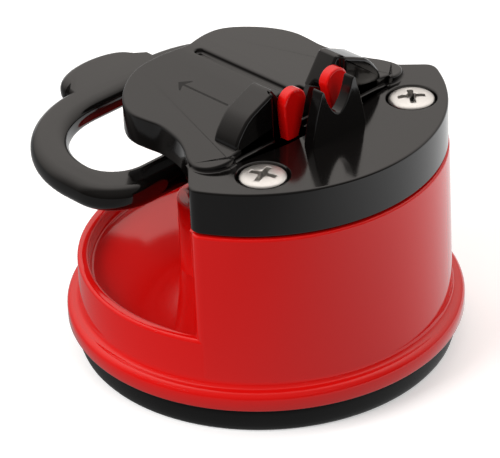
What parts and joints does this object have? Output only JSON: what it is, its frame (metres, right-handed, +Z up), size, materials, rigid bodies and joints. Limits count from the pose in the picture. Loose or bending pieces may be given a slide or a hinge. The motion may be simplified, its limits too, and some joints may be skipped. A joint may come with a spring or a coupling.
{
  "type": "suction base knife sharpener",
  "caption": "Round hand sharpener on a suction cup: a V slot with crossed cutters on a lobed top, and a ring lever with a cam that pulls the cup tight.",
  "frame": {"origin": "on the table, below the middle of the tool's overall length and width; the housing's axis is 5 mm along +X from it", "axes": "+X along the sharpening slot, away from the lever; +Y to the left of the slot; +Z up"},
  "size_m": [0.0748, 0.0648, 0.0513],
  "materials": {
    "red_plastic": "glossy red moulded plastic",
    "black_plastic": "glossy black moulded plastic",
    "black_lever_plastic": "glossy black moulded plastic",
    "black_inner_plastic": "satin",
    "zinc_plated_steel": "bright zinc plating",
    "bright_steel": "bright drawn steel",
    "spring_steel": "drawn wire",
    "tungsten_carbide": "ground hard metal",
    "black_rubber": "satin"
  },
  "bodies": {
    "housing": {"housing": "red_plastic", "top_cover": "black_plastic", "cover_screw_left": "zinc_plated_steel", "cover_screw_right": "zinc_plated_steel", "blade_holder_left": "red_plastic", "blade_holder_right": "red_plastic", "carbide_blade_left": "tungsten_carbide", "carbide_blade_right": "tungsten_carbide", "blade_retainer": "black_inner_plastic", "retainer_screw_left": "zinc_plated_steel", "retainer_screw_right": "zinc_plated_steel", "cam_plate": "bright_steel", "spring_washer": "zinc_plated_steel", "suction_cup": "black_rubber"},
    "stem": {"stem": "bright_steel", "cup_foot": "bright_steel", "return_spring": "spring_steel"},
    "lever": {"lever": "black_lever_plastic", "lever_pin": "bright_steel", "pin_clip": "spring_steel"}
  },
  "joints": [
    {"name": "stem_lift", "type": "slide", "parent": "housing", "child": "stem", "axis": [0, 0, 1], "range_m": [0, 0.0016], "deforming": ["return_spring"]},
    {"name": "lever_turn", "type": "hinge", "parent": "stem", "child": "lever", "pos_m": [0.005, 0, 0.0315], "axis": [0, -1, 0], "range_deg": [0, 25]}
  ],
  "couplings": [
    {"joint": "lever_turn", "follows": "stem_lift", "rad_per_m": 272.4}
  ]
}
